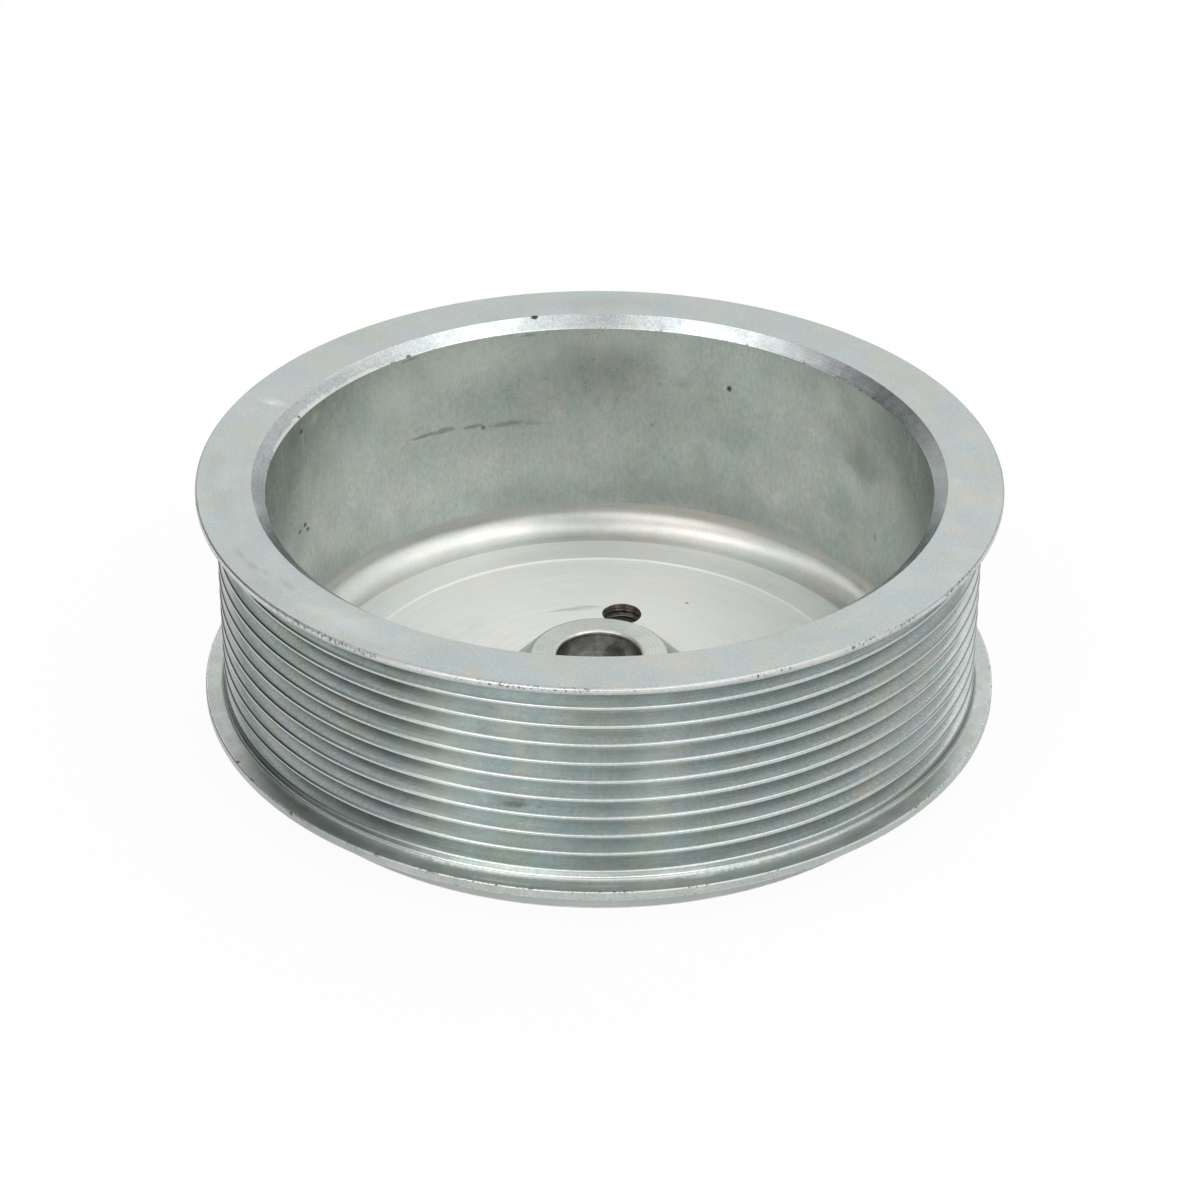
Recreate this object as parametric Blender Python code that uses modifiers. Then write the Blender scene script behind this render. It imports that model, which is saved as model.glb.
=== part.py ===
"""Fan belt pulley: a turned steel cup with ten V grooves for a ribbed belt.

Metres, +Z up. The origin is on the axis, at the level of the flat base.
The two tapped holes of the web lie on the Y axis.
"""

import math

import bpy

MM = 0.001

# Belt grooves of the K section, whose pitch and angle are standard
GROOVE_COUNT = 10
GROOVE_PITCH = 3.56 * MM
GROOVE_ANGLE = math.radians(40)
GROOVE_ROOT_RADIUS = 0.5 * MM
CREST_RADIUS = 67.14 * MM
CREST_WIDTH = 0.62 * MM

# Flanges that keep the belt on, and the lands beside the end grooves
FLANGE_OVERHANG = 3.3 * MM
FLANGE_FLARE = 0.36 * MM
UPPER_FLANGE_EDGE = 1.27 * MM
UPPER_LAND = 0.82 * MM
LOWER_FLANGE_EDGE = 1.67 * MM
LOWER_LAND = 1.27 * MM
RIM_EDGE_BREAK = 0.5 * MM

# Turned step that the pulley stands on
BASE_HEIGHT = 6.65 * MM
BASE_INSET = 6.94 * MM
BASE_EDGE_BREAK = 0.3 * MM

# Cup: wall, mouth and floor
WALL_THICKNESS = 6.06 * MM
WALL_DRAFT = 0.35 * MM
MOUTH_CHAMFER_WIDTH = 2.35 * MM
MOUTH_CHAMFER_DEPTH = 1.9 * MM
FLOOR_FILLET = 5.5 * MM
WEB_THICKNESS = 3.0 * MM
FLOOR_STEP = 0.3 * MM
FLOOR_STEP_INSET = 12.1 * MM

# Hub and its plain bore
BORE_RADIUS = 7.5 * MM
BORE_CHAMFER = 0.6 * MM
HUB_FACE_WIDTH = 4.25 * MM
HUB_RISE = 7.55 * MM
HUB_FLARE = 7.15 * MM
HUB_EDGE_RADIUS = 1.0 * MM

# Tapped holes for drawing the pulley off its shaft, at the drill's size
PULLER_HOLE_COUNT = 2
PULLER_HOLE_RADIUS = 3.4 * MM
PULLER_HOLE_SPACE = 3.4 * MM

# Finish: zinc plate on steel
PLATE_COLOUR = (0.47, 0.51, 0.50, 1.0)
PLATE_ROUGHNESS = 0.34
PLATE_METALLIC = 0.92

# Facets
TURN_STEPS = 72
ROOT_SEGMENTS = 2
FILLET_SEGMENTS = 6
HUB_EDGE_SEGMENTS = 2
HOLE_SIDES = 20
SHARP_ANGLE = math.radians(28)
MERGE_DISTANCE = 0.00001

# Sizes that follow from the ones above
FLANGE_RADIUS = CREST_RADIUS + FLANGE_OVERHANG
BASE_RADIUS = FLANGE_RADIUS - BASE_INSET
HALF_MOUTH = (GROOVE_PITCH - CREST_WIDTH) / 2
HALF_ANGLE = GROOVE_ANGLE / 2
POINTED_DEPTH = HALF_MOUTH / math.tan(HALF_ANGLE)
GROOVE_DEPTH = POINTED_DEPTH - GROOVE_ROOT_RADIUS * (1 / math.sin(HALF_ANGLE) - 1)
ROOT_RADIUS = CREST_RADIUS - GROOVE_DEPTH
CUP_RADIUS = ROOT_RADIUS - WALL_THICKNESS
HUB_FACE_RADIUS = BORE_RADIUS + BORE_CHAMFER + HUB_FACE_WIDTH
HUB_FOOT_RADIUS = HUB_FACE_RADIUS + HUB_FLARE
HUB_HEIGHT = WEB_THICKNESS + HUB_RISE
PULLER_CIRCLE_RADIUS = HUB_FOOT_RADIUS + PULLER_HOLE_SPACE + PULLER_HOLE_RADIUS

# Levels of the flanges and grooves, from the base up
LOWER_EDGE_Z = BASE_HEIGHT + LOWER_FLANGE_EDGE
LOWER_LAND_Z = LOWER_EDGE_Z + FLANGE_FLARE
LOWEST_CREST_Z = LOWER_LAND_Z + LOWER_LAND
HIGHEST_CREST_Z = LOWEST_CREST_Z + GROOVE_COUNT * GROOVE_PITCH
UPPER_LAND_Z = HIGHEST_CREST_Z + UPPER_LAND
UPPER_EDGE_Z = UPPER_LAND_Z + FLANGE_FLARE
TOP_Z = UPPER_EDGE_Z + UPPER_FLANGE_EDGE


def clear_scene():
    """Remove every object of the open scene."""
    for obj in list(bpy.data.objects):
        bpy.data.objects.remove(obj, do_unlink=True)


def new_collection(name):
    """A fresh collection under the scene's own one."""
    collection = bpy.data.collections.new(name)
    bpy.context.scene.collection.children.link(collection)
    return collection


def arc(centre_radius, centre_z, radius, start, end, segments):
    """Points of an arc; angles run from the outward direction towards +Z."""
    points = []
    for i in range(segments + 1):
        angle = start + (end - start) * i / segments
        points.append((centre_radius + radius * math.cos(angle),
                       centre_z + radius * math.sin(angle)))
    return points


def groove(middle_z):
    """One V groove with a round root, from its upper crest edge to its lower one."""
    root_centre = ROOT_RADIUS + GROOVE_ROOT_RADIUS
    upper_tangent = math.pi / 2 + HALF_ANGLE
    lower_tangent = 3 * math.pi / 2 - HALF_ANGLE
    points = [(CREST_RADIUS, middle_z + HALF_MOUTH)]
    points += arc(root_centre, middle_z, GROOVE_ROOT_RADIUS,
                  upper_tangent, lower_tangent, ROOT_SEGMENTS)
    points.append((CREST_RADIUS, middle_z - HALF_MOUTH))
    return points


def outer_side():
    """Upper flange, grooves and lower flange, from the rim down to the base."""
    points = [
        (FLANGE_RADIUS - RIM_EDGE_BREAK, TOP_Z),
        (FLANGE_RADIUS, TOP_Z - RIM_EDGE_BREAK),
        (FLANGE_RADIUS, UPPER_EDGE_Z),
        (CREST_RADIUS, UPPER_LAND_Z),
    ]
    for i in range(GROOVE_COUNT):
        points += groove(HIGHEST_CREST_Z - (i + 0.5) * GROOVE_PITCH)
    points += [
        (CREST_RADIUS, LOWER_LAND_Z),
        (FLANGE_RADIUS, LOWER_EDGE_Z),
        (FLANGE_RADIUS, BASE_HEIGHT),
        (BASE_RADIUS, BASE_HEIGHT),
        (BASE_RADIUS, BASE_EDGE_BREAK),
        (BASE_RADIUS - BASE_EDGE_BREAK, 0),
    ]
    return points


def bore_and_hub():
    """The bore from the base up, its chamfers, the hub's face, round edge and flared side."""
    slope = math.atan2(HUB_RISE, HUB_FLARE)
    flat_radius = HUB_FACE_RADIUS - HUB_EDGE_RADIUS * math.tan(slope / 2)
    points = [
        (BORE_RADIUS + BORE_CHAMFER, 0),
        (BORE_RADIUS, BORE_CHAMFER),
        (BORE_RADIUS, HUB_HEIGHT - BORE_CHAMFER),
        (BORE_RADIUS + BORE_CHAMFER, HUB_HEIGHT),
    ]
    points += arc(flat_radius, HUB_HEIGHT - HUB_EDGE_RADIUS, HUB_EDGE_RADIUS,
                  math.pi / 2, math.pi / 2 - slope, HUB_EDGE_SEGMENTS)
    points.append((HUB_FOOT_RADIUS, WEB_THICKNESS))
    return points


def cup_inside():
    """The floor with its shallow step, the round corner, the wall and the mouth."""
    step_radius = CUP_RADIUS - FLOOR_STEP_INSET
    upper_floor = WEB_THICKNESS + FLOOR_STEP
    mouth_radius = CUP_RADIUS + WALL_DRAFT
    points = [
        (step_radius, WEB_THICKNESS),
        (step_radius + FLOOR_STEP, upper_floor),
    ]
    points += arc(CUP_RADIUS - FLOOR_FILLET, upper_floor + FLOOR_FILLET, FLOOR_FILLET,
                  -math.pi / 2, 0, FILLET_SEGMENTS)
    points += [
        (mouth_radius, TOP_Z - MOUTH_CHAMFER_DEPTH),
        (mouth_radius + MOUTH_CHAMFER_WIDTH, TOP_Z),
    ]
    return points


def plate_material():
    """Bright zinc plate."""
    material = bpy.data.materials.new("zinc_plate")
    material.use_nodes = True
    shader = material.node_tree.nodes["Principled BSDF"]
    shader.inputs["Base Color"].default_value = PLATE_COLOUR
    shader.inputs["Roughness"].default_value = PLATE_ROUGHNESS
    shader.inputs["Metallic"].default_value = PLATE_METALLIC
    return material


def turned_body(name, collection):
    """The whole section, turned about Z."""
    section = outer_side() + bore_and_hub() + cup_inside()
    count = len(section)
    mesh = bpy.data.meshes.new(name)
    mesh.from_pydata(
        [(radius, 0, z) for radius, z in section],
        [(i, (i + 1) % count) for i in range(count)],
        [],
    )
    body = bpy.data.objects.new(name, mesh)
    collection.objects.link(body)
    turn = body.modifiers.new("turn", "SCREW")
    turn.axis = "Z"
    turn.angle = 2 * math.pi
    turn.steps = TURN_STEPS
    turn.render_steps = TURN_STEPS
    turn.use_merge_vertices = True
    turn.merge_threshold = MERGE_DISTANCE
    return body


def hole_cutter(index, collection):
    """A straight cutter through the web, longer than the web is thick."""
    angle = math.pi / 2 + index * 2 * math.pi / PULLER_HOLE_COUNT
    bpy.ops.mesh.primitive_cylinder_add(
        vertices=HOLE_SIDES,
        radius=PULLER_HOLE_RADIUS,
        depth=3 * WEB_THICKNESS,
        location=(
            PULLER_CIRCLE_RADIUS * math.cos(angle),
            PULLER_CIRCLE_RADIUS * math.sin(angle),
            WEB_THICKNESS / 2,
        ),
    )
    cutter = bpy.context.active_object
    cutter.name = f"puller_hole_cutter_{index + 1}"
    for owner in list(cutter.users_collection):
        owner.objects.unlink(cutter)
    collection.objects.link(cutter)
    cutter.hide_render = True
    cutter.display_type = "WIRE"
    return cutter


def cut(body, cutter):
    """Take the cutter's volume out of the body."""
    boolean = body.modifiers.new(cutter.name, "BOOLEAN")
    boolean.operation = "DIFFERENCE"
    boolean.solver = "EXACT"
    boolean.object = cutter


def bake(body):
    """Turn the modifiers into a mesh, smooth but for its true edges."""
    graph = bpy.context.evaluated_depsgraph_get()
    mesh = bpy.data.meshes.new_from_object(body.evaluated_get(graph))
    body.modifiers.clear()
    body.data = mesh
    mesh.shade_smooth()
    mesh.set_sharp_from_angle(angle=SHARP_ANGLE)


def main():
    clear_scene()
    parts = new_collection("fan_belt_pulley")
    cutters = new_collection("cutters")
    pulley = turned_body("pulley", parts)
    for i in range(PULLER_HOLE_COUNT):
        cut(pulley, hole_cutter(i, cutters))
    bake(pulley)
    pulley.data.materials.clear()
    pulley.data.materials.append(plate_material())


main()
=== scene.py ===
"""Looks of the fan belt pulley: its finely turned body, threads, plated finish and marks.

Sizes are in millimetres, and become metres where a mesh is made.
"""

import math

import bmesh
import bpy
from mathutils import Matrix, Vector


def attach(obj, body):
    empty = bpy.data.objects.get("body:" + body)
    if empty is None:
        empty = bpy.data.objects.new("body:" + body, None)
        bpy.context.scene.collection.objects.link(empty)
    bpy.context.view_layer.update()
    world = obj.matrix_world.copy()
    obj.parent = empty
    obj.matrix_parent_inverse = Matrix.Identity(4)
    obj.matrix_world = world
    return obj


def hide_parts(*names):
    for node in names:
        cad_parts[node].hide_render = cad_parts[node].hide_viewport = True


MM = 0.001

# Section of the turned body; the same sizes as the solid's
TOP = 48.0
FLANGE_RADIUS = 70.44
CREST_RADIUS = 67.14
UPPER_EDGE = 46.73
UPPER_LAND = 46.37
LOWER_LAND = 8.68
LOWER_EDGE = 8.32
BASE_HEIGHT = 6.65
BASE_RADIUS = 63.5
GROOVES = 10
PITCH = 3.56
CREST_WIDTH = 0.62
HIGHEST_CREST = 45.55
GROOVE_HALF_ANGLE = math.radians(20)
CUP_RADIUS = 58.0
WALL_DRAFT = 0.35
MOUTH_RADIUS = CUP_RADIUS + WALL_DRAFT
MOUTH_WIDTH = 2.35
MOUTH_DEPTH = 1.9
FLOOR = 3.0
UPPER_FLOOR = 3.3
FLOOR_STEP_RADIUS = 45.9
BORE_RADIUS = 7.5
BORE_CHAMFER = 0.6
HUB_HEIGHT = 10.55
HUB_FACE_RADIUS = 12.35
HUB_FOOT_RADIUS = 19.5
CUP_FILLET = 5.5

# How the corners of the section are rounded: arc radius and arc segments
RIM_ROUND = (0.45, 5)
UPPER_FLANGE_ROUND = (0.25, 3)
UPPER_LAND_ROUND = (0.3, 2)
CREST_ROUND = (0.34, 4)
ROOT_ROUND = (0.5, 6)
LOWER_LAND_ROUND = (0.7, 4)
LOWER_FLANGE_ROUND = (0.2, 3)
STEP_ROUND = (0.25, 2)
BASE_ROUND = (0.3, 3)
BREAK = (0.1, 1)
BORE_ROUND = (0.85, 6)
HUB_ROUND = (1.0, 5)
HUB_FOOT_ROUND = (0.6, 3)
CUP_ROUND = (CUP_FILLET, 16)
MOUTH_ROUND = (0.15, 2)

# Puller holes, and the tap that cuts their thread
HOLE_CIRCLE = 26.3
THREAD_MINOR = 3.4
THREAD_MAJOR = 4.0
THREAD_PITCH = 1.25
THREAD_HALF_ANGLE = math.radians(30)
TAP_TURNS = 5
TAP_ROWS_PER_TURN = 12
TAP_SIDES = 48

# Facets of the turned body
TURN_STEPS = 384
MERGE_DISTANCE = 0.00001
SHARP_ANGLE = math.radians(50)

# Camera, solved from the outlines in the photograph
PHOTO_SIDE = 1200
FOCAL_PIXELS = 3902.6
PRINCIPAL_X = 599.25
SENSOR_WIDTH = 36
CAMERA_DISTANCE = 0.5942
CAMERA_HEIGHT = 0.3822
CAMERA_YAW = math.radians(9.7)
CAMERA_PITCH = math.radians(31.235)
CAMERA_ROLL = 0.0037

# Soft lights of the room: turn, rise, sharpness and strength. A turn is from straight
# behind the pulley, to the right, as the camera sees it, and a rise is above the horizon.
SOFT_LIGHTS = [
    (340, 23, 30.0, 0.79),
    (119, 64, 30.0, 1.34),
    (121, 38, 4.1, 1.41),
    (205, 8, 11.1, 4.00),
    (240, 63, 30.0, 2.43),
    (14, 40, 6.5, 1.42),
    (264, 36, 30.0, 1.26),
    (159, 0, 24.2, 3.96),
]
WHITE = (1, 1, 1, 1)
# Metal sees the white backdrop below this height of a direction
HORIZON = 0.08

# Floor in metres, the share of it that shows white, and the ring of shade under the web
FLOOR_SIZE = 8
FLOOR_COLOUR = (0.94, 0.94, 0.94)
FLOOR_WHITE = 0.94
SHADE_COLOUR = (0.08, 0.075, 0.07)
SHADE_RADIUS = 38
SHADE_REACH = (22, 24)

# Crests of the grooves get painted shade: it darkens them at the sides, where half the angle
# from the front passes these, and paints a dark line along their upper edges on the left.
FRONT_TURN = math.radians(-80.3)
CREST_SHADE_HALF_ANGLES = (math.radians(16), math.radians(36))
CREST_SHADE_IN_FRONT = 0.3
CREST_SHADE_SHARE = 0.38
CREST_EDGE = (CREST_RADIUS - 0.42, CREST_RADIUS - 0.12)
LINE_LEFTWARD = (-0.3, -0.75)
LINE_UPPER_SIDE = (-0.48, -0.36)
LINE_LOWER_SIDE = (-0.08, -0.20)
LINE_SHARE = 0.85
CREST_SHADE_COLOUR = (0.10, 0.12, 0.115)

# Colours of marks and wear, of painted shade and of painted highlights
# Dim patches: mottled plate on the rim, painted shade on the wall, fillet and flange
DIM_PATCH_AND_SHADE_COLOUR = (0.22, 0.25, 0.23)
# Painted highlights
PAINTED_HIGHLIGHT_COLOUR = (0.82, 0.86, 0.81)
RING_COLOUR = (0.24, 0.25, 0.23)
WORN_COLOUR = (0.86, 0.87, 0.85)
SPECK_COLOUR = (0.07, 0.07, 0.065)
# Painted glints and highlights
BRIGHT_COLOUR = (0.86, 0.86, 0.83)
# Warm stains, and painted shade beside the hub's foot
WARM_COLOUR = (0.62, 0.50, 0.38)
# Nicks and stains, and painted shade at the hub's foot, on the flange's left and on the wall
DARK_COLOUR = (0.07, 0.065, 0.06)

# Tints of the plate on the grooves, and the hues that tinge it everywhere
GREEN = (0.455, 0.496, 0.471)
GREY = (0.472, 0.504, 0.491)
BLUE = (0.465, 0.504, 0.506)
WARM = (0.50, 0.512, 0.488)
WARM_HUE = (1.025, 1.0, 0.97)
COOL_HUE = (0.975, 1.005, 1.015)

# What every look says unless it says otherwise
COMMON = {
    "cloud_stretch": (1, 1, 1), "fine_stretch": (1, 1, 1), "hue_size": 5.0,
    "hues": (WARM_HUE, COOL_HUE), "brushed": 0.6, "metallic": 1.0, "painted_highlight_colour": PAINTED_HIGHLIGHT_COLOUR,
}

# The looks of the zones. Tints are (noise, colour). Sizes of "cloud", "line" and "hue_size"
# are the lumps of their noise. "edges" and "rings" are circles of (radius, height, width).
# Marks are (angle in degrees, radius, height, half length, half width, strength).
# "fade" and "outward" paint shade, multiplying the colour by height and by radius: (low, high,
# from, to).
LOOKS = {
    "rim": {
        "tints": [
            (0.34, (0.427, 0.467, 0.446)), (0.45, (0.446, 0.487, 0.475)),
            (0.55, (0.446, 0.487, 0.484)), (0.66, (0.48, 0.502, 0.475)),
        ],
        "cloud": 20, "line": 0.35, "stain": 0.5, "stain_colour": (0.541, 0.556, 0.532),
        "hue_size": 6, "brushed": 0.15, "hues": ((1.035, 1.0, 0.955), (0.968, 1.0, 1.025)),
        "grain": 0.085, "roughness": (0.34, 0.46), "bump": 0.006, "turned": 0.15,
        "edges": [(70.35, 47.9, 0.45)], "wear": 0.28, "specks": 0.8,
        "clouds": [
            (-135.7, 68.3, 48.0, 7.0, 2.2, 0.12), (99.8, 65.4, 48.0, 20.0, 4.5, 0.16),
            (-170.0, 67.5, 48.0, 8.0, 2.0, 0.14), (-160.0, 66.0, 48.0, 6.0, 2.4, 0.12),
            (-141.0, 66.5, 48.0, 2.5, 1.1, 0.34), (-138.4, 65.7, 48.0, 1.5, 0.9, 0.34),
            (-145.0, 67.0, 48.0, 2.2, 0.8, 0.3), (-134.0, 64.6, 48.0, 3.0, 1.0, 0.22),
            (35.0, 66.0, 48.0, 14.0, 3.0, 0.08),
        ],
        # Painted highlights
        "painted_highlights": [(-119.8, 65.3, 48.0, 16.0, 4.5, 0.22), (166.5, 64.0, 48.0, 1.4, 3.2, 0.35)],
        "warm": [(-134.0, 65.6, 48.0, 16.0, 4.5, 0.1), (40.0, 67.0, 48.0, 16.0, 3.0, 0.08)],
        "dark": [(111.4, 60.6, 48.0, 0.9, 0.5, 1.0)],
        # A painted glint
        "bright": [(167.0, 64.4, 48.0, 0.5, 1.4, 0.35)],
    },
    "chamfer": {
        "tints": [
            (0.36, (0.502, 0.55, 0.555)), (0.5, (0.559, 0.602, 0.609)),
            (0.62, (0.602, 0.639, 0.638)),
        ],
        "cloud": 6, "line": 0.22, "stain": 0.35, "stain_colour": (0.402, 0.446, 0.45),
        "brushed": 0.3, "grain": 0.16, "roughness": (0.16, 0.3), "bump": 0.01, "turned": 0.0,
        "edges": [(60.65, 48.0, 0.2), (58.35, 46.1, 0.4)], "wear": 0.45, "specks": 0.9,
        "painted_highlight_colour": (0.9, 0.94, 0.96),
        # Painted highlights: the chamfer's white reflections
        "painted_highlights": [(48.0, 59.5, 47.0, 30.0, 4.0, 0.95), (15.0, 59.5, 47.0, 22.0, 3.0, 0.3)],
        # Painted glints along the chamfer's edges
        "bright": [
            (150.0, 58.5, 46.2, 9.0, 0.6, 0.55), (163.0, 58.5, 46.2, 10.0, 0.8, 0.95),
            (178.0, 58.5, 46.2, 12.0, 0.6, 0.9), (150.0, 60.5, 47.9, 12.0, 0.3, 0.4),
            (20.0, 58.4, 46.2, 14.0, 0.35, 0.6),
        ],
        "dark": [
            (111.4, 60.5, 47.9, 0.9, 0.55, 1.0), (137.1, 58.4, 46.2, 0.7, 0.4, 0.8),
            (167.0, 58.6, 46.4, 0.5, 0.4, 0.8),
        ],
    },
    "wall": {
        "tints": [
            (0.34, (0.499, 0.564, 0.539)), (0.45, (0.539, 0.594, 0.57)),
            (0.55, (0.569, 0.609, 0.586)), (0.66, (0.623, 0.634, 0.601)),
        ],
        "cloud": 16, "cloud_stretch": (0.634, 0.644, 0.97), "line": 0.4, "stain": 0.5,
        "stain_colour": (0.469, 0.514, 0.487), "grain": 0.08, "roughness": (0.26, 0.34),
        "bump": 0.0008, "turned": 0.3, "brushed": 0.0, "hue_size": 7,
        "hues": ((1.025, 1.0, 0.97), (0.97, 1.005, 1.015)), "fine_stretch": (1.2, 1.2, 2.6),
        # Painted shade, darker towards the bottom of the wall, and the colour of its painted
        # highlights
        "fade": (9.0, 17.0, 0.8, 1.0), "painted_highlight_colour": (0.8, 0.86, 0.79),
        # Painted shade: the darker bands of the wall's reflections
        "clouds": [
            (84.1, 58.1, 35.4, 2.0, 1.6, 0.35), (117.0, 58.1, 27.2, 7.0, 1.0, 0.25),
            (99.7, 58.1, 37.0, 14.0, 9.0, 0.3), (72.7, 58.1, 28.0, 12.0, 8.0, 0.2),
            (43.7, 58.1, 32.0, 7.0, 6.0, 0.5), (47.8, 58.1, 18.8, 11.0, 8.0, 0.35),
            (170.0, 58.1, 44.0, 5.0, 3.0, 0.35), (84.0, 58.1, 12.0, 28.0, 11.0, 0.45),
            (58.0, 58.1, 13.0, 16.0, 8.0, 0.25), (112.0, 58.1, 12.0, 14.0, 7.0, 0.25),
            (66.0, 58.1, 20.0, 6.0, 9.0, 0.22), (90.0, 58.1, 38.0, 2.6, 2.0, 0.16),
            (78.0, 58.1, 33.0, 3.2, 1.6, 0.2),
        ],
        # Painted highlights: the lighter bands of the wall's reflections
        "painted_highlights": [
            (122.0, 58.1, 42.0, 20.0, 7.0, 0.62), (150.0, 58.1, 30.0, 14.0, 10.0, 0.25),
            (100.0, 58.1, 44.0, 16.0, 3.0, 0.3), (85.7, 58.1, 38.3, 5.0, 10.0, 0.3),
            (141.0, 58.1, 39.0, 11.0, 9.0, 0.55), (43.0, 58.1, 44.5, 9.0, 5.0, 0.55),
            (52.9, 58.1, 41.0, 5.0, 5.5, 0.4), (25.5, 58.2, 43.0, 2.0, 4.5, 0.5),
            (163.0, 58.1, 44.0, 4.0, 2.2, 0.4),
        ],
        # Stains and nicks, and at 167° and 43.4 mm high a painted dark reflection
        "dark": [
            (75.1, 58.1, 36.2, 0.6, 0.7, 0.95), (167.3, 58.1, 24.2, 0.7, 0.5, 0.9),
            (166.3, 58.1, 22.8, 0.6, 0.45, 0.85), (169.5, 58.1, 23.9, 0.9, 0.4, 0.8),
            (167.0, 58.2, 43.4, 0.9, 0.5, 0.8), (134.0, 58.1, 28.6, 4.0, 0.45, 0.4),
            (129.8, 58.1, 28.5, 2.6, 0.7, 0.4), (124.0, 58.1, 27.9, 2.2, 0.55, 0.4),
            (122.0, 58.1, 27.3, 0.5, 0.6, 0.6), (117.0, 58.1, 27.2, 3.6, 0.6, 0.3),
            (112.0, 58.1, 26.6, 2.5, 0.45, 0.18), (89.9, 58.1, 26.0, 0.5, 0.5, 0.35),
            (112.8, 58.1, 45.4, 2.0, 0.45, 0.5), (137.0, 58.1, 45.5, 3.0, 0.4, 0.5),
            (38.6, 58.1, 18.4, 0.5, 1.2, 0.3),
        ],
        # Painted reflections: bright lines on the wall
        "bright": [
            (166.5, 58.2, 41.0, 0.35, 5.0, 0.5), (27.7, 58.2, 44.0, 0.5, 3.0, 0.5),
            (22.0, 58.2, 39.5, 0.4, 2.5, 0.4), (24.0, 58.2, 41.5, 0.9, 3.4, 0.6),
            (26.0, 58.2, 38.0, 0.5, 1.5, 0.4), (162.0, 58.2, 44.0, 1.4, 1.6, 0.6),
            (176.0, 58.2, 42.0, 0.4, 4.0, 0.6), (108.1, 58.1, 41.1, 1.8, 0.3, 0.35),
        ],
    },
    "fillet": {
        # Painted light: the same plate as the wall's, made lighter for the highlight on the
        # fillet, and so is its stain colour
        "tints": [
            (0.36, (0.69, 0.712, 0.69)), (0.48, (0.736, 0.747, 0.724)),
            (0.6, (0.794, 0.78, 0.746)),
        ],
        "cloud": 16, "line": 0.3, "stain": 0.3, "stain_colour": (0.827, 0.802, 0.758),
        # Painted shade, darker towards the fillet's top, where its highlight gives way to the wall
        "fade": (6.3, 8.7, 1.0, 0.62), "grain": 0.05, "roughness": (0.34, 0.42), "bump": 0.003,
        "turned": 0.0, "brushed": 0.3, "hue_size": 8,
        "hues": ((1.03, 1.0, 0.965), (0.98, 1.005, 1.01)),
        # Painted shade: the dimmer middle of the fillet's highlight
        "clouds": [(104.0, 56.4, 5.6, 11.0, 4.0, 0.3)],
        "warm": [(42.0, 57.4, 6.4, 2.4, 1.3, 0.55), (38.6, 57.6, 7.2, 1.2, 0.9, 0.5)],
    },
    "ring": {
        # Painted light: the plate made much lighter for the light the floor of the cup reflects,
        # and so is its stain colour
        "tints": [
            (0.38, (0.926, 0.954, 0.918)), (0.48, (0.97, 0.97, 0.945)),
            (0.62, (0.97, 0.97, 0.945)),
        ],
        "cloud": 20, "line": 0.3, "stain": 0.25, "stain_colour": (0.87, 0.908, 0.884),
        "grain": 0.05, "roughness": (0.36, 0.46), "bump": 0.006, "turned": 0.3,
        "edges": [(46.1, 3.3, 0.2)], "wear": 0.3, "metallic": 0.7, "specks": 0.0,
    },
    "floor": {
        # Painted light: the plate made much lighter for the light the floor of the cup reflects,
        # and so is its stain colour
        "tints": [
            (0.38, (0.921, 0.939, 0.906)), (0.48, (0.954, 0.96, 0.927)),
            (0.62, (0.97, 0.966, 0.927)),
        ],
        "cloud": 22, "line": 0.3, "stain": 0.3, "stain_colour": (0.835, 0.855, 0.842),
        "grain": 0.045, "roughness": (0.44, 0.54), "bump": 0.006, "metallic": 0.3, "turned": 0.5,
        "hue_size": 9, "hues": ((1.012, 1.0, 0.985), (0.988, 1.002, 1.003)),
        "edges": [(46.1, 3.3, 0.2)], "wear": 0.3, "specks": 0.0,
        "clouds": [(107.0, 28.4, 3.0, 6.0, 1.2, 0.22)],
        # Painted shade, brownish, beside the hub's foot
        "warm": [(32.0, 20.2, 3.0, 1.2, 0.9, 0.4)],
        "dark": [
            (71.1, 34.3, 3.0, 0.4, 0.5, 0.5), (112.0, 28.2, 3.0, 4.0, 0.4, 0.2),
            (104.0, 28.8, 3.0, 3.0, 0.5, 0.15),
        ],
    },
    "hub": {
        "tints": [
            (0.38, (0.529, 0.564, 0.539)), (0.48, (0.568, 0.593, 0.568)),
            (0.62, (0.617, 0.617, 0.578)),
        ],
        "cloud": 9, "line": 0.25, "stain": 0.25, "stain_colour": (0.666, 0.666, 0.617),
        "grain": 0.07, "roughness": (0.34, 0.44), "bump": 0.008, "turned": 0.2,
        "edges": [(12.3, 10.3, 0.3)], "wear": 0.3, "specks": 0.3,
        "rings": [
            (8.45, 10.55, 0.14), (8.95, 10.55, 0.12), (9.55, 10.55, 0.12), (10.3, 10.55, 0.1),
            (11.2, 10.5, 0.12), (12.6, 10.1, 0.16),
        ],
        # Painted shade, brownish, on the hub's foot
        "warm": [(22.0, 19.0, 3.6, 1.6, 0.9, 0.5), (30.0, 17.0, 5.6, 1.2, 0.8, 0.3)],
        # Painted shade at the left and right of the hub's foot
        "dark": [(150.0, 18.6, 4.0, 2.0, 1.4, 0.5), (18.0, 18.6, 4.0, 2.0, 1.4, 0.5)],
        # Painted highlights: a glint on the hub's edge and the bore's lit back edge
        "bright": [(28.0, 12.4, 10.2, 0.5, 0.4, 0.8), (99.7, 7.95, 10.4, 5.2, 0.42, 0.95)],
    },
    "bore": {
        # Painted shade: dark tints for the shade inside the bore
        "tints": [(0.4, (0.2, 0.21, 0.19)), (0.6, (0.3, 0.3, 0.28))], "cloud": 4, "line": 0.3,
        "stain": 0.5, "stain_colour": (0.12, 0.12, 0.11), "grain": 0.15, "roughness": (0.35, 0.5),
        "bump": 0.01, "turned": 0.2, "dark": [(76.0, 7.5, 6.0, 2.6, 3.2, 0.7)],
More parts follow.
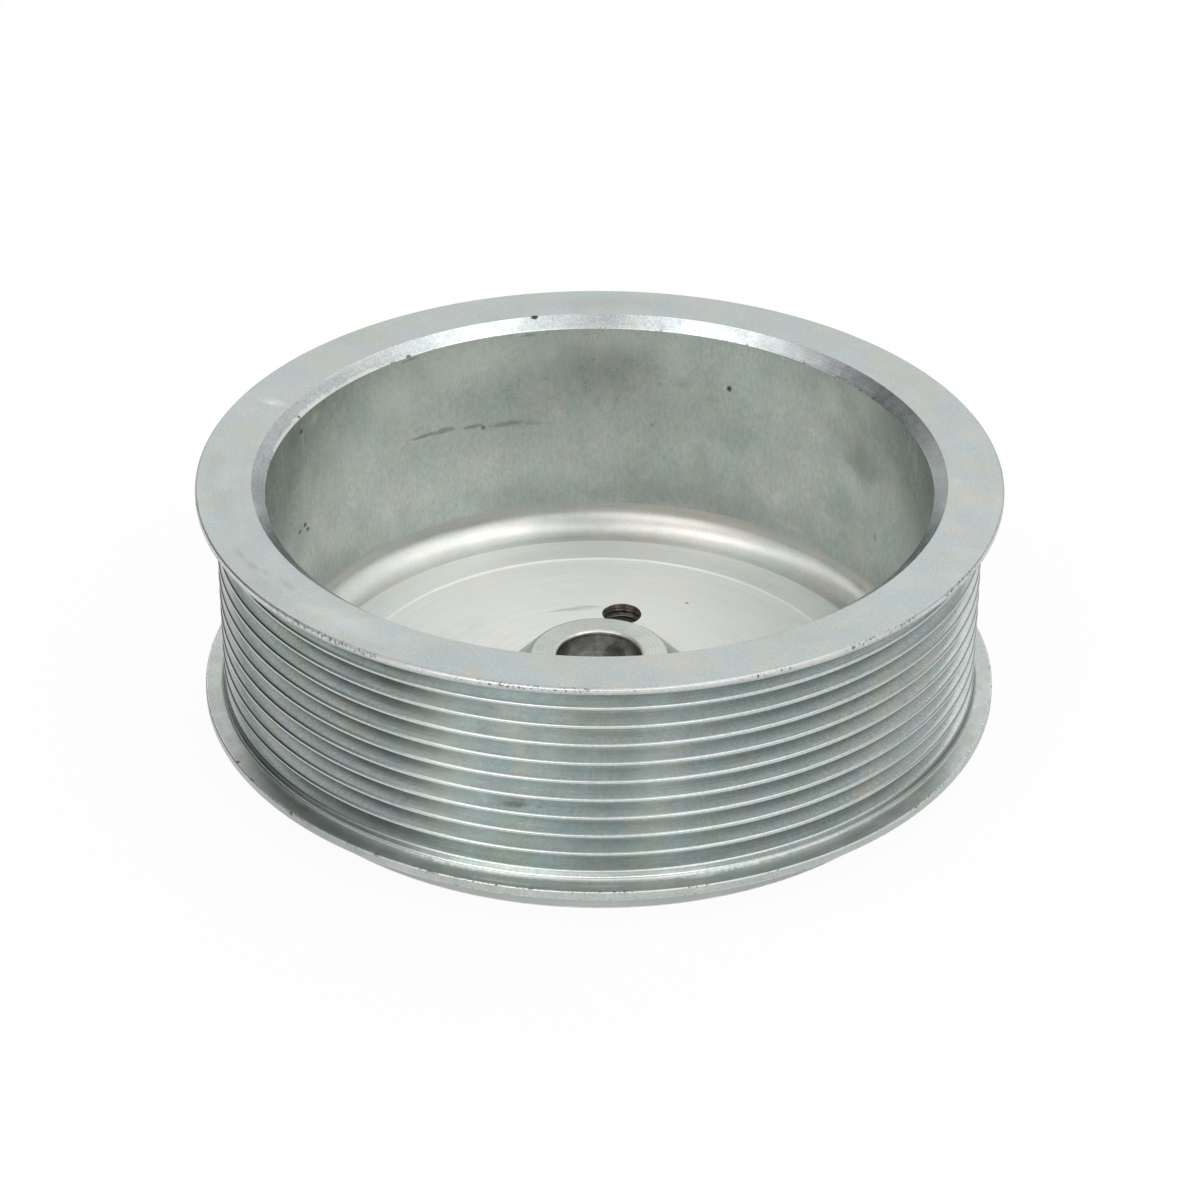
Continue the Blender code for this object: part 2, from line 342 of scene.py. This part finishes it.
    },
    "grooves": {
        "tints": [(0.36, GREEN), (0.47, GREY), (0.56, BLUE), (0.66, WARM)],
        "cloud": 15, "cloud_stretch": (0.7, 0.7, 1.8), "line": 0.25, "stain": 0.3,
        # "crests" paints shade on the crests
        "stain_colour": (0.41, 0.465, 0.447), "grain": 0.12, "brushed": 0.25, "crests": True,
        # Painted shade, darker towards the roots of the grooves
        "outward": (64.0, 66.5, 0.97, 1.2), "roughness": (0.17, 0.27), "bump": 0.004,
        "turned": 0.6, "polish": (66.85, 67.05, 0.5),
        "hues": ((1.015, 1.0, 0.985), (0.988, 1.002, 1.008)), "painted_highlight_colour": (0.76, 0.78, 0.74),
        # Painted highlights: glare running down across the grooves
        "painted_highlights": [
            (-103.0, 65.5, 28.0, 10.0, 24.0, 0.3), (-72.0, 65.5, 30.0, 8.0, 24.0, 0.2),
            (-84.0, 65.5, 36.0, 30.0, 16.0, 0.14),
        ],
        "dark": [
            (-113.9, 66.0, 39.7, 1.4, 0.45, 0.9), (-92.5, 65.6, 21.3, 2.4, 0.7, 0.4),
            (-89.5, 65.4, 21.0, 3.4, 0.6, 0.45), (-59.7, 66.3, 37.0, 0.5, 0.35, 0.8),
        ],
    },
    "flange": {
        "tints": [
            (0.38, (0.425, 0.466, 0.442)), (0.5, (0.45, 0.479, 0.463)),
            (0.62, (0.499, 0.52, 0.504)),
        ],
        "cloud": 8, "line": 0.3, "stain": 0.5, "stain_colour": (0.507, 0.524, 0.507),
        "grain": 0.12, "roughness": (0.3, 0.44), "bump": 0.012, "turned": 0.3,
        "edges": [(70.44, 47.5, 0.6), (70.4, 8.3, 0.5), (70.4, 6.7, 0.35)],
        "wear": 0.36, "specks": 0.9, "brushed": 0.3,
        # Painted shade on the flange's left side
        "clouds": [(-122.0, 69.0, 8.2, 22.0, 3.5, 0.57)],
        # Painted shade: long dark lines along the flange's edge on its left; the rest are nicks
        "dark": [
            (176.0, 70.45, 8.15, 50.0, 0.28, 0.6), (-150.0, 70.45, 8.15, 40.0, 0.25, 0.5),
            (-143.0, 70.2, 8.2, 0.5, 0.4, 0.8), (-128.0, 70.3, 8.0, 0.6, 0.4, 0.8),
            (-112.0, 70.3, 8.2, 0.7, 0.3, 0.6), (4.0, 70.4, 8.0, 0.6, 0.5, 0.5),
        ],
        # Painted highlights at the flange's front, broad and in thin lines
        "painted_highlights": [(-84.0, 68.6, 8.5, 34.0, 2.4, 0.42)],
        "bright": [
            (-80.0, 67.6, 8.6, 32.0, 0.55, 0.75), (-93.0, 69.4, 8.45, 7.0, 0.4, 0.5),
            (-80.0, 69.0, 8.5, 4.0, 0.35, 0.5), (-66.0, 68.2, 8.55, 3.0, 0.5, 0.7),
        ],
    },
    "underside": {
        "tints": [
            (0.38, (0.37, 0.405, 0.387)), (0.5, (0.39, 0.418, 0.408)),
            (0.62, (0.432, 0.443, 0.428)),
        ],
        "cloud": 18, "line": 0.35, "stain": 0.3, "stain_colour": (0.432, 0.439, 0.425),
        "grain": 0.07, "roughness": (0.34, 0.48), "bump": 0.01, "turned": 0.2,
        "edges": [(63.4, 0.1, 0.5), (8.1, 0.0, 0.4)], "wear": 0.6, "specks": 0.2,
    },
    "thread": {
        # Painted shade: near black tints for the shade in the holes
        "tints": [(0.4, (0.065, 0.055, 0.047)), (0.6, (0.14, 0.115, 0.095))],
        "cloud": 1.5, "line": 0.3, "stain": 0.5, "stain_colour": (0.06, 0.05, 0.045),
        "grain": 0.15, "roughness": (0.42, 0.6), "bump": 0.01, "turned": 0.0,
    },
}


def rounded(corners):
    """The closed section through the corners, each one replaced by an arc.

    A corner is (radius, height, arc radius, arc segments).
    """
    points = []
    count = len(corners)
    for i, (radius, height, fillet, segments) in enumerate(corners):
        corner = Vector((radius, height))
        before = Vector(corners[i - 1][:2]) - corner
        after = Vector(corners[(i + 1) % count][:2]) - corner
        before.normalize()
        after.normalize()
        opening = before.angle(after)
        reach = fillet / math.tan(opening / 2)
        centre = corner + (before + after).normalized() * fillet / math.sin(opening / 2)
        start = corner + before * reach - centre
        end = corner + after * reach - centre
        sweep = math.pi - opening
        for k in range(segments + 1):
            part = k / segments
            start_weight = math.sin((1 - part) * sweep) / math.sin(sweep)
            end_weight = math.sin(part * sweep) / math.sin(sweep)
            points.append(centre + start * start_weight + end * end_weight)
    return points


def section():
    """Corners of the pulley's section, from the rim down its outer side and back inside."""
    half_mouth = (PITCH - CREST_WIDTH) / 2
    apex_radius = CREST_RADIUS - half_mouth / math.tan(GROOVE_HALF_ANGLE)
    corners = [
        (FLANGE_RADIUS, TOP, *RIM_ROUND),
        (FLANGE_RADIUS, UPPER_EDGE, *UPPER_FLANGE_ROUND),
        (CREST_RADIUS, UPPER_LAND, *UPPER_LAND_ROUND),
    ]
    for i in range(GROOVES):
        middle = HIGHEST_CREST - (i + 0.5) * PITCH
        corners += [
            (CREST_RADIUS, middle + half_mouth, *CREST_ROUND),
            (apex_radius, middle, *ROOT_ROUND),
            (CREST_RADIUS, middle - half_mouth, *CREST_ROUND),
        ]
    corners += [
        (CREST_RADIUS, LOWER_LAND, *LOWER_LAND_ROUND),
        (FLANGE_RADIUS, LOWER_EDGE, *LOWER_FLANGE_ROUND),
        (FLANGE_RADIUS, BASE_HEIGHT, *LOWER_FLANGE_ROUND),
        (BASE_RADIUS, BASE_HEIGHT, *STEP_ROUND),
        (BASE_RADIUS, 0, *BASE_ROUND),
        (BORE_RADIUS + BORE_CHAMFER, 0, *BREAK),
        (BORE_RADIUS, BORE_CHAMFER, *BREAK),
        (BORE_RADIUS, HUB_HEIGHT, *BORE_ROUND),
        (HUB_FACE_RADIUS, HUB_HEIGHT, *HUB_ROUND),
        (HUB_FOOT_RADIUS, FLOOR, *HUB_FOOT_ROUND),
        (FLOOR_STEP_RADIUS, FLOOR, *BREAK),
        (FLOOR_STEP_RADIUS + UPPER_FLOOR - FLOOR, UPPER_FLOOR, *BREAK),
        (CUP_RADIUS, UPPER_FLOOR, *CUP_ROUND),
        (MOUTH_RADIUS, TOP - MOUTH_DEPTH, *MOUTH_ROUND),
        (MOUTH_RADIUS + MOUTH_WIDTH, TOP, *MOUTH_ROUND),
    ]
    return corners


def tap_radius(phase):
    """Radius of the tap at a part of the thread's pitch."""
    land = THREAD_PITCH / 16
    slope = (THREAD_MAJOR - THREAD_MINOR) * math.tan(THREAD_HALF_ANGLE)
    off_groove = min(phase, 1 - phase) * THREAD_PITCH
    share = min(max((off_groove - land) / slope, 0), 1)
    return THREAD_MAJOR - (THREAD_MAJOR - THREAD_MINOR) * share


def tap(angle):
    """A solid with the screw thread on its side, which cuts one puller hole."""
    grid = bmesh.new()
    rings = []
    for row in range(TAP_TURNS * TAP_ROWS_PER_TURN + 1):
        turns_up = row / TAP_ROWS_PER_TURN
        height = turns_up * THREAD_PITCH - THREAD_PITCH
        ring = []
        for i in range(TAP_SIDES):
            part = i / TAP_SIDES
            radius = tap_radius((turns_up - part) % 1)
            ring.append(grid.verts.new((
                radius * math.cos(2 * math.pi * part) * MM,
                radius * math.sin(2 * math.pi * part) * MM,
                height * MM,
            )))
        rings.append(ring)
    for low, high in zip(rings, rings[1:]):
        for i in range(TAP_SIDES):
            j = (i + 1) % TAP_SIDES
            grid.faces.new((low[i], low[j], high[j], high[i]))
    grid.faces.new(list(reversed(rings[0])))
    grid.faces.new(rings[-1])
    mesh = bpy.data.meshes.new("tap")
    grid.to_mesh(mesh)
    grid.free()
    cutter = bpy.data.objects.new("tap", mesh)
    cutter.location = (
        HOLE_CIRCLE * math.cos(angle) * MM,
        HOLE_CIRCLE * math.sin(angle) * MM,
        0,
    )
    bpy.context.scene.collection.objects.link(cutter)
    return cutter


def turned_body():
    """The whole pulley as one fine mesh, with its threaded holes cut."""
    points = rounded(section())
    count = len(points)
    mesh = bpy.data.meshes.new("pulley_body")
    mesh.from_pydata(
        [(p.x * MM, 0, p.y * MM) for p in points],
        [(i, (i + 1) % count) for i in range(count)],
        [],
    )
    body = bpy.data.objects.new("pulley_body", mesh)
    bpy.context.scene.collection.objects.link(body)
    turn = body.modifiers.new("turn", "SCREW")
    turn.axis = "Z"
    turn.angle = 2 * math.pi
    turn.steps = TURN_STEPS
    turn.render_steps = TURN_STEPS
    turn.use_merge_vertices = True
    turn.merge_threshold = MERGE_DISTANCE
    taps = [tap(math.pi / 2), tap(-math.pi / 2)]
    for cutter in taps:
        boolean = body.modifiers.new("thread", "BOOLEAN")
        boolean.operation = "DIFFERENCE"
        boolean.solver = "EXACT"
        boolean.object = cutter
    graph = bpy.context.evaluated_depsgraph_get()
    fine = bpy.data.meshes.new_from_object(body.evaluated_get(graph))
    body.modifiers.clear()
    body.data = fine
    for cutter in taps:
        bpy.data.objects.remove(cutter, do_unlink=True)
    fine.shade_smooth()
    fine.set_sharp_from_angle(angle=SHARP_ANGLE)
    weighted = body.modifiers.new("normals", "WEIGHTED_NORMAL")
    weighted.keep_sharp = True
    return body


class Nodes:
    """The nodes of a material or a world, added in small steps."""

    def __init__(self, tree):
        self.tree = tree

    def put(self, socket, value):
        """Link or set one input."""
        if isinstance(value, bpy.types.NodeSocket):
            self.tree.links.new(value, socket)
        else:
            socket.default_value = value

    def add(self, kind, *values, **settings):
        """A new node with these settings, and its first inputs linked or set."""
        node = self.tree.nodes.new(kind)
        for name, setting in settings.items():
            setattr(node, name, setting)
        for socket, value in zip(node.inputs, values):
            self.put(socket, value)
        return node

    def math(self, operation, *values):
        """One sum on numbers."""
        return self.add("ShaderNodeMath", *values, operation=operation).outputs[0]

    def vector(self, operation, *values):
        """One sum on vectors."""
        node = self.add("ShaderNodeVectorMath", *values, operation=operation)
        to_number = operation in ("LENGTH", "DISTANCE", "DOT_PRODUCT")
        return node.outputs["Value" if to_number else "Vector"]

    def combine(self, *parts):
        """A vector from its three parts."""
        return self.add("ShaderNodeCombineXYZ", *parts).outputs[0]

    def ramp(self, value, low, high):
        """From 0 to 1 as the value goes from low to high."""
        return self.add("ShaderNodeMapRange", value, low, high).outputs[0]

    def step(self, value, low, high, bottom=0.0, top=1.0):
        """Smooth step from bottom to top as the value goes from low to high."""
        node = self.add("ShaderNodeMapRange", value, low, high, bottom, top,
                        interpolation_type="SMOOTHSTEP")
        return node.outputs[0]

    def blend(self, share, first, second):
        """Two numbers mixed by a fixed share of the second one."""
        rest = self.math("MULTIPLY", first, 1 - share)
        return self.math("MULTIPLY_ADD", second, share, rest)

    def mix(self, share, first, second):
        """Two colours mixed by the share of the second one."""
        node = self.add("ShaderNodeMix", data_type="RGBA")
        self.put(node.inputs["Factor"], share)
        for socket, colour in ((node.inputs[6], first), (node.inputs[7], second)):
            self.put(socket, (*colour, 1) if isinstance(colour, tuple) else colour)
        return node.outputs[2]

    def surface(self, kind, share, first, second):
        """End the nodes with two shaders mixed by the share of the second one."""
        mixed = self.add("ShaderNodeMixShader", share, first.outputs[0], second.outputs[0])
        self.put(self.add(kind).inputs["Surface"], mixed.outputs[0])


class Finish(Nodes):
    """One material, built on the pulley's own coordinates in millimetres."""

    def __init__(self, name):
        self.material = bpy.data.materials.new(name)
        self.material.use_nodes = True
        super().__init__(self.material.node_tree)
        self.shader = self.tree.nodes["Principled BSDF"]
        metres = self.add("ShaderNodeTexCoord").outputs["Object"]
        self.place = self.vector("MULTIPLY", metres, (1000, 1000, 1000))
        x, y, self.height = self.add("ShaderNodeSeparateXYZ", self.place).outputs
        self.radius = self.vector("LENGTH", self.vector("MULTIPLY", self.place, (1, 1, 0)))
        self.turn = self.math("ARCTAN2", y, x)
        self.round = self.combine(self.turn, self.radius, self.height)
        self.profile = self.combine(0.0, self.radius, self.height)
        # Grows across the turning marks on every surface of the pulley
        self.across = self.math("MULTIPLY_ADD", self.height, 0.6, self.radius)

    def texture(self, place, detail, roughness=0.5):
        """Noise between about 0.25 and 0.75, with lumps about 1 across."""
        node = self.add("ShaderNodeTexNoise")
        self.put(node.inputs["Vector"], place)
        self.put(node.inputs["Scale"], 1.0)
        self.put(node.inputs["Detail"], detail)
        self.put(node.inputs["Roughness"], roughness)
        return node.outputs["Fac"]

    def noise(self, size, detail=2.0, roughness=0.5, stretch=(1, 1, 1), seed=0.0):
        """Cloudy noise with lumps of about the size."""
        scale = [1 / (size * along) for along in stretch]
        moved = self.vector("MULTIPLY_ADD", self.place, scale, (seed, seed, seed))
        return self.texture(moved, detail, roughness)

    def streaks(self, length, width, detail, seed):
        """Noise drawn out along the turning marks."""
        across = self.combine(0.0, 0.0, self.math("MULTIPLY_ADD", self.across, 1 / width, seed))
        scale = (1 / length, 1 / length, 0)
        return self.texture(self.vector("MULTIPLY_ADD", self.place, scale, across), detail)

    def tints(self, value, stops):
        """Colours along a value; a stop is (value, colour)."""
        node = self.add("ShaderNodeValToRGB", value)
        node.color_ramp.interpolation = "EASE"
        ramp = node.color_ramp.elements
        while len(ramp) < len(stops):
            ramp.new(0.5)
        for element, (place, colour) in zip(ramp, stops):
            element.position = place
            element.color = (*colour, 1)
        return node.outputs[0]

    def strongest(self, values):
        """The strongest of some masks."""
        most = values[0]
        for value in values[1:]:
            most = self.math("MAXIMUM", most, value)
        return most

    def circles(self, rings):
        """1 on the circles of (radius, height, width), falling to 0 a width away."""
        masks = []
        for radius, height, width in rings:
            away = self.vector("DISTANCE", self.profile, (0, radius, height))
            masks.append(self.step(away, 0.0, width, 1.0, 0.0))
        return self.strongest(masks)

    def spots(self, marks, ragged=0.5, lump=0.7, core=0.45):
        """Marks with ragged edges that fade from a core outwards."""
        edge = self.noise(lump, detail=3.0)
        uneven = self.math("MULTIPLY_ADD", edge, 2 * ragged, -ragged)
        masks = []
        for angle, radius, height, half_length, half_width, strength in marks:
            scale = (radius / half_length, 1 / half_width, 1 / half_width)
            middle = (math.radians(angle), radius, height)
            back = [-part * times for part, times in zip(middle, scale)]
            off = self.vector("MULTIPLY_ADD", self.round, scale, back)
            away = self.math("ADD", self.vector("LENGTH", off), uneven)
            masks.append(self.step(away, core, 1.15, strength, 0.0))
        return self.strongest(masks)

    def crest_shade(self):
        """Mask of painted shade: on the crests at the sides, and in dark lines above them."""
        half_turn = self.math("MULTIPLY_ADD", self.turn, 0.5, FRONT_TURN / -2)
        off_front = self.math("ABSOLUTE", self.math("SINE", half_turn))
        side = self.step(off_front, *map(math.sin, CREST_SHADE_HALF_ANGLES), CREST_SHADE_IN_FRONT)
        crest = self.math("MULTIPLY", self.step(self.radius, *CREST_EDGE), side)
        shade_and_polish = self.math("MULTIPLY", crest, CREST_SHADE_SHARE)
        leftward = self.math("SINE", self.math("ADD", self.turn, -FRONT_TURN))
        left = self.math("MULTIPLY", self.step(leftward, *LINE_LEFTWARD), LINE_SHARE)
        below = self.math("MULTIPLY_ADD", self.height, -1 / PITCH, HIGHEST_CREST / PITCH + 0.5)
        below = self.math("MULTIPLY", self.math("SUBTRACT", self.math("FRACT", below), 0.5), PITCH)
        line = self.math("MULTIPLY", self.step(below, *LINE_UPPER_SIDE),
                         self.step(below, *LINE_LOWER_SIDE))
        return self.math("MAXIMUM", shade_and_polish, self.math("MULTIPLY", line, left))

    def turned(self, amount):
        """Draw the highlights out across the turning marks."""
        tangent = self.add("ShaderNodeTangent", direction_type="RADIAL", axis="Z")
        self.put(self.shader.inputs["Tangent"], tangent.outputs[0])
        self.shader.inputs["Anisotropic"].default_value = amount
        self.shader.inputs["Anisotropic Rotation"].default_value = 0.25

    def bump(self, height, depth):
        """Relief of the height, in millimetres deep."""
        node = self.add("ShaderNodeBump")
        self.put(node.inputs["Strength"], 1.0)
        self.put(node.inputs["Distance"], depth * MM)
        self.put(node.inputs["Height"], height)
        self.put(self.shader.inputs["Normal"], node.outputs[0])


def plate_colour(finish, look, smears, grain):
    """The plate's clouds, stains, hues and turning marks, before any wear."""
    clouds = finish.noise(look["cloud"], detail=4.0, roughness=0.6,
                          stretch=look["cloud_stretch"], seed=3.1)
    colour = finish.tints(clouds, look["tints"])
    stain = finish.step(smears, 0.50, 0.70, 0.0, look["stain"])
    colour = finish.mix(stain, colour, look["stain_colour"])
    hue = finish.noise(look["hue_size"], detail=3.0, roughness=0.6, seed=12.4)
    warm, cool = look["hues"]
    tinge = finish.tints(hue, [(0.38, cool), (0.5, (1, 1, 1)), (0.62, warm)])
    colour = finish.vector("MULTIPLY", colour, tinge)
    shade = finish.step(grain, 0.32, 0.68, 1 - look["grain"], 1 + look["grain"])
    return finish.vector("MULTIPLY", colour, shade)


def broad_marks(finish, look, colour):
    """Dim patches, painted highlights, painted shade gradients, turned rings and painted shade on
    crests.
    """
    # Dim patches: mottled plate on the rim, painted shade on the wall, fillet and flange
    if "clouds" in look:
        dim = finish.spots(look["clouds"], ragged=0.4, lump=3.0, core=0.0)
        colour = finish.mix(dim, colour, DIM_PATCH_AND_SHADE_COLOUR)
    # Painted highlights
    if "painted_highlights" in look:
        highlight_mask = finish.spots(look["painted_highlights"], ragged=0.4, lump=2.5, core=0.0)
        colour = finish.mix(highlight_mask, colour, look["painted_highlight_colour"])
    # Painted shade, darker towards the roots of the grooves
    if "outward" in look:
        shade = finish.step(finish.radius, *look["outward"])
        colour = finish.vector("MULTIPLY", colour, shade)
    # Painted shade, darker at the fillet's top and towards the wall's bottom
    if "fade" in look:
        shade = finish.step(finish.height, *look["fade"])
        colour = finish.vector("MULTIPLY", colour, shade)
    if "rings" in look:
        broken = finish.step(finish.noise(2.0, seed=4.4), 0.4, 0.6, 0.15, 0.6)
        rings = finish.math("MULTIPLY", finish.circles(look["rings"]), broken)
        colour = finish.mix(rings, colour, RING_COLOUR)
    # Painted shade on the crests at the sides, and painted dark lines above them on the left
    if look.get("crests"):
        colour = finish.mix(finish.crest_shade(), colour, CREST_SHADE_COLOUR)
    return colour


def worn_edges(finish, look, colour, roughness):
    """Bare metal in patches along the edges, with dark specks."""
    ring = finish.circles(look["edges"])
    lumps = finish.noise(1.3, detail=4.0, roughness=0.65, seed=5.3)
    patchy = finish.step(finish.math("ADD", ring, lumps), 0.85, 1.2)
    worn = finish.math("MULTIPLY", patchy, look["wear"])
    colour = finish.mix(worn, colour, WORN_COLOUR)
    roughness = finish.math("SUBTRACT", roughness, finish.math("MULTIPLY", worn, 0.12))
    specks = finish.step(finish.noise(0.5, detail=3.0, roughness=0.6, seed=9.1), 0.53, 0.61)
    patches = finish.step(finish.noise(6.0, seed=2.3), 0.45, 0.6)
    dirt = finish.math("MULTIPLY", finish.math("MULTIPLY", specks, patches), ring)
    dirt = finish.math("MULTIPLY", dirt, look["specks"])
    return finish.mix(dirt, colour, SPECK_COLOUR), roughness


def small_marks(finish, look, colour, roughness):
    """Scratches, stains and nicks, with painted highlights and some painted shade."""
    # Painted glints and highlights
    if "bright" in look:
        bright = finish.spots(look["bright"], ragged=0.9)
        colour = finish.mix(bright, colour, BRIGHT_COLOUR)
    # Warm stains, and painted shade beside the hub's foot
    if "warm" in look:
        warm = finish.spots(look["warm"], ragged=0.7, lump=1.0, core=0.0)
        colour = finish.mix(warm, colour, WARM_COLOUR)
    # Nicks and stains, and painted shade at the hub's foot, on the flange's left and on the wall
    if "dark" in look:
        dark = finish.spots(look["dark"])
        colour = finish.mix(dark, colour, DARK_COLOUR)
        roughness = finish.math("ADD", roughness, finish.math("MULTIPLY", dark, 0.25))
    return colour, roughness


def plated(name, look):
    """Zinc plate over turning marks, clouded and worn, with painted shade and highlights, as the
    look says.
    """
    look = {**COMMON, **look}
    finish = Finish(name)
    smears = finish.noise(look["cloud"] * 0.4, detail=5.0, roughness=0.65, seed=7.7)
    grain = finish.noise(0.5, detail=3.0, roughness=0.7, stretch=look["fine_stretch"])
    uneven = smears
    if look["brushed"]:
        lines = finish.streaks(30, look["line"], detail=3.0, seed=1.7)
        grain = finish.blend(look["brushed"], grain, lines)
        uneven = finish.blend(0.4, smears, lines)
    roughness = finish.step(uneven, 0.35, 0.65, *look["roughness"])
    if "polish" in look:
        inner, outer, share = look["polish"]
        shade_and_polish = finish.step(finish.radius, inner, outer, 1.0, 1 - share)
        roughness = finish.math("MULTIPLY", roughness, shade_and_polish)
    colour = plate_colour(finish, look, smears, grain)
    colour = broad_marks(finish, look, colour)
    if "edges" in look:
        colour, roughness = worn_edges(finish, look, colour, roughness)
    colour, roughness = small_marks(finish, look, colour, roughness)
    finish.put(finish.shader.inputs["Base Color"], colour)
    finish.put(finish.shader.inputs["Roughness"], roughness)
    finish.shader.inputs["Metallic"].default_value = look["metallic"]
    if look["turned"]:
        finish.turned(look["turned"])
    finish.bump(grain, look["bump"])
    return finish.material


def zone(centre):
    """Name of the look at the middle of a face."""
    radius = math.hypot(centre.x, centre.y)
    height = centre.z
    off_hole = math.hypot(centre.x, abs(centre.y) - HOLE_CIRCLE)
    slack = 0.1
    if off_hole < THREAD_MAJOR - slack / 5 and height < FLOOR - slack / 10:
        return "thread"
    if radius < BORE_RADIUS + 0.25 and height > 0.4:
        return "bore"
    if height < 0.35 or (height < BASE_HEIGHT - slack and radius > CUP_RADIUS):
        return "underside"
    if height > TOP - MOUTH_DEPTH - 0.08 and radius < MOUTH_RADIUS + MOUTH_WIDTH - 0.05:
        return "chamfer"
    if height > TOP - 0.3 and radius < FLANGE_RADIUS - slack:
        return "rim"
    if radius > CUP_RADIUS + 3:
        return "flange" if radius > CREST_RADIUS + 0.15 else "grooves"
    if radius > CUP_RADIUS - slack and height > UPPER_FLOOR + CUP_FILLET - 0.3:
        return "wall"
    if radius > CUP_RADIUS - CUP_FILLET + slack:
        return "fillet"
    if radius > FLOOR_STEP_RADIUS + 0.15:
        return "ring"
    if radius < HUB_FOOT_RADIUS - slack:
        return "hub"
    return "floor"


def finish_body(body):
    """Give each face the material of its zone."""
    mesh = body.data
    mesh.materials.clear()
    slots = {}
    for index, (name, look) in enumerate(LOOKS.items()):
        mesh.materials.append(plated("zinc_" + name, look))
        slots[name] = index
    for face in mesh.polygons:
        face.material_index = slots[zone(face.center / MM)]


def floor():
    """Plain pale floor, white around the pulley but for its shadow.

    The camera sees a ring of it dark, which shows through the puller holes only.
    """
    bpy.ops.mesh.primitive_plane_add(size=FLOOR_SIZE, location=(0, 0, 0))
    plane = bpy.context.active_object
    plane.name = "floor"
    material = bpy.data.materials.new("floor")
    material.use_nodes = True
    nodes = Nodes(material.node_tree)
    nodes.tree.nodes.clear()
    path = nodes.add("ShaderNodeLightPath").outputs
    seen = nodes.math("MAXIMUM", path["Is Camera Ray"], path["Is Glossy Ray"])
    seen = nodes.math("MAXIMUM", seen, path["Is Transmission Ray"])
    from_axis = nodes.vector("LENGTH", nodes.add("ShaderNodeTexCoord").outputs["Object"])
    off_ring = nodes.math("ABSOLUTE", nodes.math("SUBTRACT", from_axis, SHADE_RADIUS * MM))
    outside = nodes.ramp(off_ring, *(reach * MM for reach in SHADE_REACH))
    unseen = nodes.math("SUBTRACT", 1.0, path["Is Camera Ray"])
    pale = nodes.math("MAXIMUM", outside, unseen)
    share = nodes.math("MULTIPLY", nodes.math("MULTIPLY", seen, FLOOR_WHITE), pale)
    lit = nodes.add("ShaderNodeBsdfDiffuse", nodes.mix(pale, SHADE_COLOUR, FLOOR_COLOUR))
    white = nodes.add("ShaderNodeEmission", WHITE, 1.0)
    nodes.surface("ShaderNodeOutputMaterial", share, lit, white)
    plane.data.materials.append(material)


def toward(turn, rise):
    """Direction at a turn from straight behind the pulley, to the right, and a rise."""
    turn = math.radians(turn)
    rise = math.radians(rise)
    away = math.cos(rise)
    direction = Vector((math.sin(turn) * away, math.cos(turn) * away, math.sin(rise)))
    direction.rotate(Matrix.Rotation(CAMERA_YAW, 3, "Z"))
    return direction


def room():
    """Soft lights around the pulley, before a backdrop that is white where it is seen."""
    world = bpy.data.worlds.new("room")
    bpy.context.scene.world = world
    world.use_nodes = True
    nodes = Nodes(world.node_tree)
    nodes.tree.nodes.clear()
    direction = nodes.add("ShaderNodeTexCoord").outputs["Generated"]
    light = 0.0
    for turn, rise, sharpness, strength in SOFT_LIGHTS:
        facing = nodes.vector("DOT_PRODUCT", direction, toward(turn, rise))
        power = nodes.math("MULTIPLY_ADD", facing, sharpness, -sharpness)
        light = nodes.math("MULTIPLY_ADD", nodes.math("EXPONENT", power), strength, light)
    path = nodes.add("ShaderNodeLightPath").outputs
    height = nodes.add("ShaderNodeSeparateXYZ", direction).outputs[2]
    mirrored = nodes.math("MAXIMUM", path["Is Glossy Ray"], path["Is Transmission Ray"])
    mirrored = nodes.math("MULTIPLY", mirrored, nodes.ramp(height, HORIZON, 0.0))
    seen = nodes.math("MAXIMUM", path["Is Camera Ray"], mirrored)
    felt = nodes.add("ShaderNodeBackground", WHITE, light)
    white = nodes.add("ShaderNodeBackground", WHITE, 1.0)
    nodes.surface("ShaderNodeOutputWorld", seen, felt, white)


def camera():
    """The photograph's camera."""
    data = bpy.data.cameras.new("camera")
    data.sensor_width = SENSOR_WIDTH
    data.lens = data.sensor_width * FOCAL_PIXELS / PHOTO_SIDE
    data.shift_x = (PHOTO_SIDE / 2 - PRINCIPAL_X) / PHOTO_SIDE
    data.clip_start = 0.05
    data.clip_end = 20
    eye = bpy.data.objects.new("camera", data)
    yaw = Matrix.Rotation(CAMERA_YAW, 4, "Z")
    place = Matrix.Translation((0, -CAMERA_DISTANCE, CAMERA_HEIGHT))
    pitch = Matrix.Rotation(math.pi / 2 - CAMERA_PITCH, 4, "X")
    roll = Matrix.Rotation(CAMERA_ROLL, 4, "Z")
    eye.matrix_world = yaw @ place @ pitch @ roll
    bpy.context.scene.collection.objects.link(eye)
    bpy.context.scene.camera = eye


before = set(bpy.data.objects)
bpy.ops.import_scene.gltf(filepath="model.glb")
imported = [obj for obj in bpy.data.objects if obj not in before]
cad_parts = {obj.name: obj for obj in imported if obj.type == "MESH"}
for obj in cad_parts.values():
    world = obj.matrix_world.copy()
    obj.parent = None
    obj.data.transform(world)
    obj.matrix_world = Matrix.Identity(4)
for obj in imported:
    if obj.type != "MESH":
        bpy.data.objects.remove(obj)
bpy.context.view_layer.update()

pulley = turned_body()
finish_body(pulley)
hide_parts("pulley")
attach(pulley, "root")

floor()
room()
camera()
bpy.context.scene.view_settings.view_transform = "Standard"
